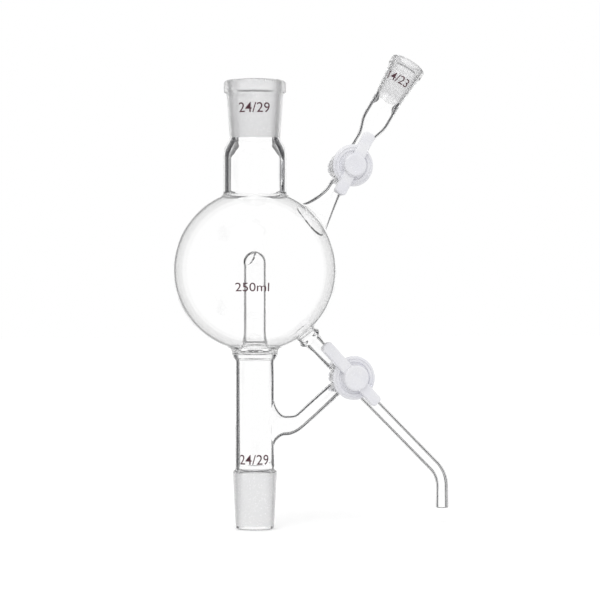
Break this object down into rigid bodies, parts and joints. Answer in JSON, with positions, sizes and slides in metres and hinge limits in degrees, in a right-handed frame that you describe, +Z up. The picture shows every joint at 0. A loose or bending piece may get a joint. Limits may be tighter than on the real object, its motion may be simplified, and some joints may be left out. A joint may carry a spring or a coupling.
{
  "type": "solvent still head",
  "caption": "Glass solvent-still head: a collecting bulb with an inner vapour tube between a ground cone and socket, a vent arm with stopcock and side socket, and a three-way drain stopcock.",
  "frame": {"origin": "centre of the large end of the lower ground cone", "axes": "+Z up along the main axis, +X towards the side arms, stopcock handles on the -Y side"},
  "size_m": [0.157, 0.0894, 0.261],
  "materials": {
    "clear_glass": "clear fire-polished borosilicate glass",
    "ground_glass": "ground, frosted borosilicate glass",
    "key_polymer": "waxy white fluoropolymer",
    "handle_polymer": "translucent natural polymer, moulded",
    "seal_rubber": "matte elastomer"
  },
  "bodies": {
    "glass": {"upper_socket": "ground_glass", "neck_tube": "clear_glass", "bulb": "clear_glass", "vapour_tube": "clear_glass", "ring_seal": "clear_glass", "lower_tube": "clear_glass", "lower_cone": "ground_glass", "vent_arm": "clear_glass", "vent_barrel": "clear_glass", "socket_stem": "clear_glass", "side_socket": "ground_glass", "drain_tube": "clear_glass", "drain_barrel": "clear_glass", "return_arm": "clear_glass", "return_elbow": "clear_glass", "drip_tube": "clear_glass", "drip_tip": "clear_glass"},
    "vent_key": {"vent_plug": "key_polymer", "vent_handle": "handle_polymer", "vent_washer": "key_polymer", "vent_sealing_ring": "seal_rubber"},
    "drain_key": {"drain_plug": "key_polymer", "drain_handle": "handle_polymer", "drain_washer": "key_polymer", "drain_sealing_ring": "seal_rubber"},
    "vent_nut": {"vent_lock_nut": "handle_polymer"},
    "drain_nut": {"drain_lock_nut": "handle_polymer"}
  },
  "joints": [
    {"name": "vent_key_turn", "type": "hinge", "parent": "glass", "child": "vent_key", "pos_m": [0.05367, 0, 0.16782], "axis": [0, -1, 0], "continuous": true},
    {"name": "drain_key_turn", "type": "hinge", "parent": "glass", "child": "drain_key", "pos_m": [0.05316, 0, 0.0512], "axis": [0, -1, 0], "continuous": true},
    {"name": "vent_nut_turn", "type": "hinge", "parent": "vent_key", "child": "vent_nut", "pos_m": [0.05367, 0, 0.16782], "axis": [0, 1, 0], "range_deg": [0, 360]},
    {"name": "drain_nut_turn", "type": "hinge", "parent": "drain_key", "child": "drain_nut", "pos_m": [0.05316, 0, 0.0512], "axis": [0, 1, 0], "range_deg": [0, 360]}
  ]
}
